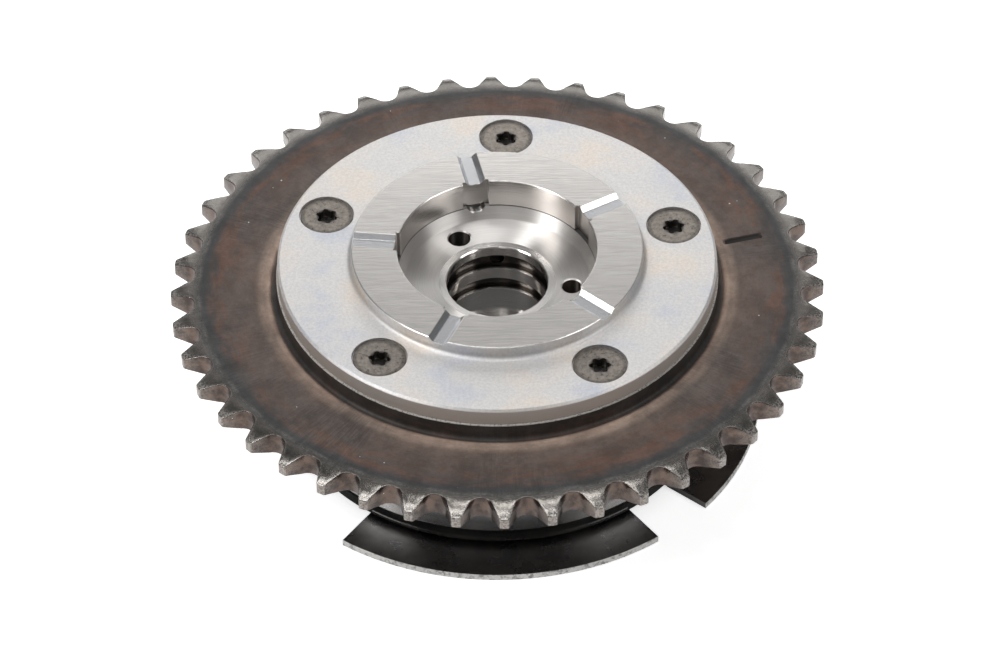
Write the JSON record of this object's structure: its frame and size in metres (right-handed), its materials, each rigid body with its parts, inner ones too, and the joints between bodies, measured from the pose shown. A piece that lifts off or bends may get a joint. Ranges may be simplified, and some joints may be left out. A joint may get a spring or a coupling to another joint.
{
  "type": "cam phaser",
  "caption": "Vane-type cam phaser: chain sprocket clamped to a vane housing with a grooved cam-side cover, a sprung rotor inside and a lobed target wheel in front.",
  "frame": {"origin": "on the axis of rotation, in the plane of the target wheel's underside", "axes": "+Z along the axis of rotation, towards the camshaft; -Y faces the viewer in the picture and +X is to the right"},
  "size_m": [0.1384, 0.1384, 0.0422],
  "materials": {
    "sprocket_steel": "heat-tinted hardened steel with bare worn tooth bevels",
    "cover_aluminium": "satin turned aluminium",
    "housing_aluminium": "machined aluminium",
    "screw_steel": "dark phosphated steel",
    "pin_steel": "ground steel",
    "spring_steel": "drawn spring steel",
    "seal_polymer": "filled sealing polymer",
    "rotor_steel": "bright turned steel",
    "target_sheet": "black coated sheet steel with bare cut edges"
  },
  "bodies": {
    "housing": {"sprocket": "sprocket_steel", "cam_side_cover": "cover_aluminium", "stator": "housing_aluminium", "front_plate": "housing_aluminium", "cover_screws": "screw_steel", "sprocket_dowel": "pin_steel", "plate_dowel": "pin_steel", "lock_seat_bush": "pin_steel", "spring_anchor_pin": "pin_steel", "lobe_seal_1": "seal_polymer", "lobe_seal_2": "seal_polymer", "lobe_seal_3": "seal_polymer", "lobe_seal_4": "seal_polymer", "lobe_seal_5": "seal_polymer", "lobe_seal_spring_1": "spring_steel", "lobe_seal_spring_2": "spring_steel", "lobe_seal_spring_3": "spring_steel", "lobe_seal_spring_4": "spring_steel", "lobe_seal_spring_5": "spring_steel"},
    "rotor": {"rotor": "rotor_steel", "reluctor": "target_sheet", "return_spring": "spring_steel", "lock_pin_spring": "spring_steel", "lock_pin_plug": "pin_steel", "vane_seal_1": "seal_polymer", "vane_seal_2": "seal_polymer", "vane_seal_3": "seal_polymer", "vane_seal_4": "seal_polymer", "vane_seal_5": "seal_polymer", "vane_seal_spring_1": "spring_steel", "vane_seal_spring_2": "spring_steel", "vane_seal_spring_3": "spring_steel", "vane_seal_spring_4": "spring_steel", "vane_seal_spring_5": "spring_steel"},
    "lock_pin": {"lock_pin": "pin_steel"}
  },
  "joints": [
    {"name": "rotor_turn", "type": "hinge", "parent": "housing", "child": "rotor", "pos_m": [0, 0, 0.025], "axis": [0, 0, 1], "range_deg": [0, 26], "stiffness_Nm_per_rad": 0.3, "springref_deg": -114.59, "deforming": ["return_spring"]},
    {"name": "lock_pin_slide", "type": "slide", "parent": "rotor", "child": "lock_pin", "axis": [0, 0, 1], "range_m": [0, 0.001], "stiffness_N_per_m": 200, "springref_m": -0.012, "deforming": ["lock_pin_spring"]}
  ]
}
